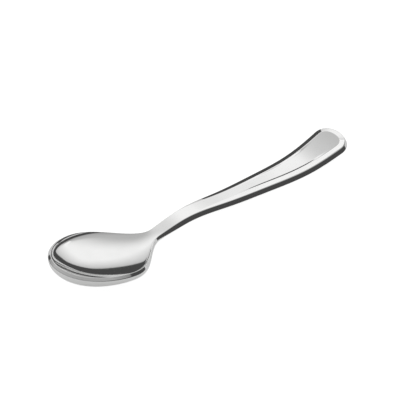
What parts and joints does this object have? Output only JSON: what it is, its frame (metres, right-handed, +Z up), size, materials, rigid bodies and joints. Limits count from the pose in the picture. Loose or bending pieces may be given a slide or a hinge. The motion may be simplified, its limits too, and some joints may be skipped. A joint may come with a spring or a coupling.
{
  "type": "dessert spoon",
  "caption": "stamped stainless steel dessert spoon with an egg-shaped bowl, narrow neck and a flat handle that widens to a rounded end with a bordered panel, lying ready on a table",
  "frame": {"origin": "on the table under the middle of the spoon's box, with the spoon lying as it is put down, hollow side up", "axes": "+X runs along the spoon from the bowl's tip to the end of the handle, +Y across it, +Z up"},
  "size_m": [0.1826, 0.0442, 0.0145],
  "materials": {
    "steel": "bright polished stainless steel with fine use scratches"
  },
  "bodies": {
    "root": {"spoon": "steel"}
  },
  "joints": []
}
